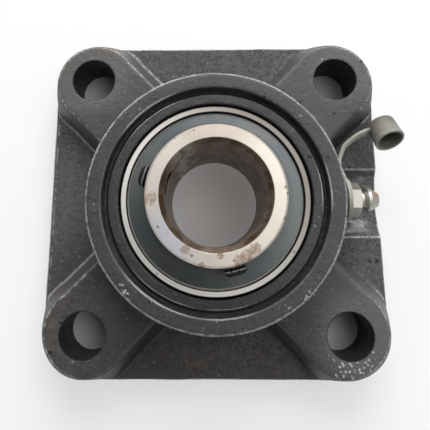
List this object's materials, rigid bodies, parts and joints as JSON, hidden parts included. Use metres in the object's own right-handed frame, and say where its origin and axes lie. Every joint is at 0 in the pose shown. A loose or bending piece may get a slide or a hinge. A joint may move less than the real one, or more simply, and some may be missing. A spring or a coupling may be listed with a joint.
{
  "type": "four-bolt flange bearing unit",
  "caption": "Square cast flange housing with a self-aligning ball bearing insert, set screws, a grease nipple and a tethered dust cap; carries a rotating shaft end on a flat wall.",
  "frame": {"origin": "on the shaft axis, in the plane of the mounting face, at the centre of the four bolt holes", "axes": "+Z along the shaft axis out of the mounting face, +X towards the grease nipple, +Y up as in the picture"},
  "size_m": [0.0983, 0.095, 0.0358],
  "materials": {
    "housing_paint": "satin dark grey paint on a sand casting, worn at the edges",
    "bearing_steel": "ground bearing steel with light staining",
    "ball_steel": "polished steel",
    "cage_steel": "pressed steel strip",
    "slinger_steel": "blue grey coated pressed steel, satin",
    "plate_steel": "pressed steel",
    "seal_rubber": "matt",
    "black_steel": "black oxide",
    "zinc_steel": "zinc plated, lightly rusted at the tip",
    "spring_steel": "drawn wire",
    "cap_plastic": "matt moulded plastic"
  },
  "bodies": {
    "housing": {"housing": "housing_paint", "grease_nipple": "zinc_steel", "nipple_spring": "spring_steel"},
    "outer_ring": {"outer_ring": "bearing_steel", "front_seal_plate": "plate_steel", "front_seal_lip": "seal_rubber", "back_seal_plate": "plate_steel", "back_seal_lip": "seal_rubber"},
    "inner_ring": {"inner_ring": "bearing_steel", "front_slinger": "slinger_steel", "back_slinger": "slinger_steel"},
    "cage": {"cage_front": "cage_steel", "cage_back": "cage_steel", "cage_rivets": "cage_steel"},
    "ball_1": {"ball_1": "ball_steel"},
    "ball_2": {"ball_2": "ball_steel"},
    "ball_3": {"ball_3": "ball_steel"},
    "ball_4": {"ball_4": "ball_steel"},
    "ball_5": {"ball_5": "ball_steel"},
    "ball_6": {"ball_6": "ball_steel"},
    "ball_7": {"ball_7": "ball_steel"},
    "ball_8": {"ball_8": "ball_steel"},
    "ball_9": {"ball_9": "ball_steel"},
    "set_screw_1": {"set_screw_1": "black_steel"},
    "set_screw_2": {"set_screw_2": "black_steel"},
    "check_ball": {"nipple_check_ball": "ball_steel"},
    "dust_cap": {"dust_cap": "cap_plastic"}
  },
  "joints": [
    {"name": "insert_swivel", "type": "hinge", "parent": "housing", "child": "outer_ring", "pos_m": [0, 0, 0.016], "axis": [0, 1, 0], "range_deg": [-2, 2]},
    {"name": "inner_ring_spin", "type": "hinge", "parent": "outer_ring", "child": "inner_ring", "pos_m": [0, 0, 0.016], "axis": [0, 0, 1], "continuous": true},
    {"name": "cage_spin", "type": "hinge", "parent": "outer_ring", "child": "cage", "pos_m": [0, 0, 0.016], "axis": [0, 0, 1], "continuous": true},
    {"name": "ball_1_spin", "type": "hinge", "parent": "cage", "child": "ball_1", "pos_m": [0.01952, 0, 0.016], "axis": [0, 0, 1], "continuous": true},
    {"name": "ball_2_spin", "type": "hinge", "parent": "cage", "child": "ball_2", "pos_m": [0.01495, 0.01255, 0.016], "axis": [0, 0, 1], "continuous": true},
    {"name": "ball_3_spin", "type": "hinge", "parent": "cage", "child": "ball_3", "pos_m": [0.00339, 0.01922, 0.016], "axis": [0, 0, 1], "continuous": true},
    {"name": "ball_4_spin", "type": "hinge", "parent": "cage", "child": "ball_4", "pos_m": [-0.00976, 0.0169, 0.016], "axis": [0, 0, 1], "continuous": true},
    {"name": "ball_5_spin", "type": "hinge", "parent": "cage", "child": "ball_5", "pos_m": [-0.01834, 0.00668, 0.016], "axis": [0, 0, 1], "continuous": true},
    {"name": "ball_6_spin", "type": "hinge", "parent": "cage", "child": "ball_6", "pos_m": [-0.01834, -0.00668, 0.016], "axis": [0, 0, 1], "continuous": true},
    {"name": "ball_7_spin", "type": "hinge", "parent": "cage", "child": "ball_7", "pos_m": [-0.00976, -0.0169, 0.016], "axis": [0, 0, 1], "continuous": true},
    {"name": "ball_8_spin", "type": "hinge", "parent": "cage", "child": "ball_8", "pos_m": [0.00339, -0.01922, 0.016], "axis": [0, 0, 1], "continuous": true},
    {"name": "ball_9_spin", "type": "hinge", "parent": "cage", "child": "ball_9", "pos_m": [0.01495, -0.01255, 0.016], "axis": [0, 0, 1], "continuous": true},
    {"name": "set_screw_1_drive", "type": "slide", "parent": "inner_ring", "child": "set_screw_1", "axis": [-0.9636, 0.2672, 0], "range_m": [-0.001, 0.003]},
    {"name": "set_screw_2_drive", "type": "slide", "parent": "inner_ring", "child": "set_screw_2", "axis": [0.2504, -0.9681, 0], "range_m": [-0.001, 0.003]},
    {"name": "check_ball_slide", "type": "slide", "parent": "housing", "child": "check_ball", "axis": [-1, 0, 0], "range_m": [0, 0.001], "stiffness_N_per_m": 300, "springref_m": -0.001, "deforming": ["nipple_spring"]},
    {"name": "cap_swivel", "type": "hinge", "parent": "housing", "child": "dust_cap", "pos_m": [0.03419, 0, 0.0185], "axis": [1, 0, 0], "range_deg": [-20, 190]}
  ],
  "couplings": [
    {"joint": "cage_spin", "follows": "inner_ring_spin", "ratio": 0.39831},
    {"joint": "ball_1_spin", "follows": "inner_ring_spin", "ratio": -2.3569},
    {"joint": "ball_2_spin", "follows": "inner_ring_spin", "ratio": -2.3569},
    {"joint": "ball_3_spin", "follows": "inner_ring_spin", "ratio": -2.3569},
    {"joint": "ball_4_spin", "follows": "inner_ring_spin", "ratio": -2.3569},
    {"joint": "ball_5_spin", "follows": "inner_ring_spin", "ratio": -2.3569},
    {"joint": "ball_6_spin", "follows": "inner_ring_spin", "ratio": -2.3569},
    {"joint": "ball_7_spin", "follows": "inner_ring_spin", "ratio": -2.3569},
    {"joint": "ball_8_spin", "follows": "inner_ring_spin", "ratio": -2.3569},
    {"joint": "ball_9_spin", "follows": "inner_ring_spin", "ratio": -2.3569}
  ]
}
